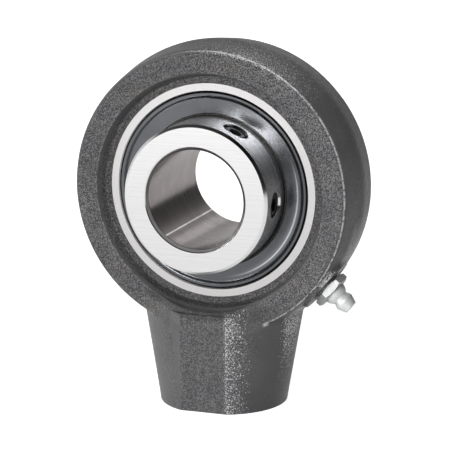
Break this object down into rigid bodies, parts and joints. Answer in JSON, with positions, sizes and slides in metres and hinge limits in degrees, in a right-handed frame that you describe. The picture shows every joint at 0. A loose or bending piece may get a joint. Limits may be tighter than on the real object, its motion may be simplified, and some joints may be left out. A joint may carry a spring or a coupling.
{
  "type": "hanger bearing unit",
  "caption": "Round cast hanger housing with a tapped pipe boss, holding a self-aligning insert ball bearing with a set screw collar, shields, seals and a grease fitting.",
  "frame": {"origin": "centre of the ball row on the shaft axis, which is the centre of the spherical seat", "axes": "+Y along the shaft, away from the set screw collar; -Z down the pipe boss; +X to the grease fitting's side"},
  "size_m": [0.095, 0.0461, 0.1185],
  "materials": {
    "cast_housing": "rough sand cast, dark",
    "ring_steel": "turned and ground",
    "ball_steel": "polished",
    "cage_steel": "pressed sheet",
    "shield_steel": "pressed sheet, satin",
    "seal_rubber": "moulded, oily",
    "screw_steel": "black oxide",
    "zinc_steel": "bright zinc plate",
    "spring_steel": "drawn wire"
  },
  "bodies": {
    "housing": {"housing": "cast_housing", "grease_fitting": "zinc_steel", "fitting_spring": "spring_steel"},
    "outer": {"outer_ring": "ring_steel", "shield_front": "shield_steel", "shield_rear": "shield_steel", "seal_front": "seal_rubber", "seal_rear": "seal_rubber"},
    "inner": {"inner_ring": "ring_steel"},
    "cage": {"cage_front": "cage_steel", "cage_rear": "cage_steel", "cage_rivets": "cage_steel"},
    "ball_1": {"ball_1": "ball_steel"},
    "ball_2": {"ball_2": "ball_steel"},
    "ball_3": {"ball_3": "ball_steel"},
    "ball_4": {"ball_4": "ball_steel"},
    "ball_5": {"ball_5": "ball_steel"},
    "ball_6": {"ball_6": "ball_steel"},
    "ball_7": {"ball_7": "ball_steel"},
    "ball_8": {"ball_8": "ball_steel"},
    "ball_9": {"ball_9": "ball_steel"},
    "set_screw_1": {"set_screw_1": "screw_steel"},
    "set_screw_2": {"set_screw_2": "screw_steel"},
    "check_ball": {"fitting_ball": "ball_steel"}
  },
  "joints": [
    {"name": "insert_tilt", "type": "hinge", "parent": "housing", "child": "outer", "pos_m": [0, 0, 0], "axis": [1, 0, 0], "range_deg": [-3, 3]},
    {"name": "shaft_spin", "type": "hinge", "parent": "outer", "child": "inner", "pos_m": [0, 0, 0], "axis": [0, 1, 0], "continuous": true},
    {"name": "cage_spin", "type": "hinge", "parent": "outer", "child": "cage", "pos_m": [0, 0, 0], "axis": [0, 1, 0], "continuous": true},
    {"name": "ball_1_spin", "type": "hinge", "parent": "cage", "child": "ball_1", "pos_m": [0, 0, 0.02675], "axis": [0, 1, 0], "continuous": true},
    {"name": "ball_2_spin", "type": "hinge", "parent": "cage", "child": "ball_2", "pos_m": [-0.01719, 0, 0.02049], "axis": [0, 1, 0], "continuous": true},
    {"name": "ball_3_spin", "type": "hinge", "parent": "cage", "child": "ball_3", "pos_m": [-0.02634, 0, 0.00465], "axis": [0, 1, 0], "continuous": true},
    {"name": "ball_4_spin", "type": "hinge", "parent": "cage", "child": "ball_4", "pos_m": [-0.02317, 0, -0.01337], "axis": [0, 1, 0], "continuous": true},
    {"name": "ball_5_spin", "type": "hinge", "parent": "cage", "child": "ball_5", "pos_m": [-0.00915, 0, -0.02514], "axis": [0, 1, 0], "continuous": true},
    {"name": "ball_6_spin", "type": "hinge", "parent": "cage", "child": "ball_6", "pos_m": [0.00915, 0, -0.02514], "axis": [0, 1, 0], "continuous": true},
    {"name": "ball_7_spin", "type": "hinge", "parent": "cage", "child": "ball_7", "pos_m": [0.02317, 0, -0.01337], "axis": [0, 1, 0], "continuous": true},
    {"name": "ball_8_spin", "type": "hinge", "parent": "cage", "child": "ball_8", "pos_m": [0.02634, 0, 0.00465], "axis": [0, 1, 0], "continuous": true},
    {"name": "ball_9_spin", "type": "hinge", "parent": "cage", "child": "ball_9", "pos_m": [0.01719, 0, 0.02049], "axis": [0, 1, 0], "continuous": true},
    {"name": "set_screw_1_travel", "type": "slide", "parent": "inner", "child": "set_screw_1", "axis": [0.454, 0, 0.891], "range_m": [-0.0004, 0.004]},
    {"name": "set_screw_2_travel", "type": "slide", "parent": "inner", "child": "set_screw_2", "axis": [0.9978, 0, -0.0663], "range_m": [-0.0004, 0.004]},
    {"name": "fitting_ball_travel", "type": "slide", "parent": "housing", "child": "check_ball", "axis": [-0.7749, 0, 0.632], "range_m": [0, 0.0012], "stiffness_N_per_m": 200, "springref_m": -0.001, "deforming": ["fitting_spring"]}
  ],
  "couplings": [
    {"joint": "cage_spin", "follows": "shaft_spin", "ratio": 0.39615},
    {"joint": "ball_1_spin", "follows": "shaft_spin", "ratio": -2.3035},
    {"joint": "ball_2_spin", "follows": "shaft_spin", "ratio": -2.3035},
    {"joint": "ball_3_spin", "follows": "shaft_spin", "ratio": -2.3035},
    {"joint": "ball_4_spin", "follows": "shaft_spin", "ratio": -2.3035},
    {"joint": "ball_5_spin", "follows": "shaft_spin", "ratio": -2.3035},
    {"joint": "ball_6_spin", "follows": "shaft_spin", "ratio": -2.3035},
    {"joint": "ball_7_spin", "follows": "shaft_spin", "ratio": -2.3035},
    {"joint": "ball_8_spin", "follows": "shaft_spin", "ratio": -2.3035},
    {"joint": "ball_9_spin", "follows": "shaft_spin", "ratio": -2.3035}
  ]
}
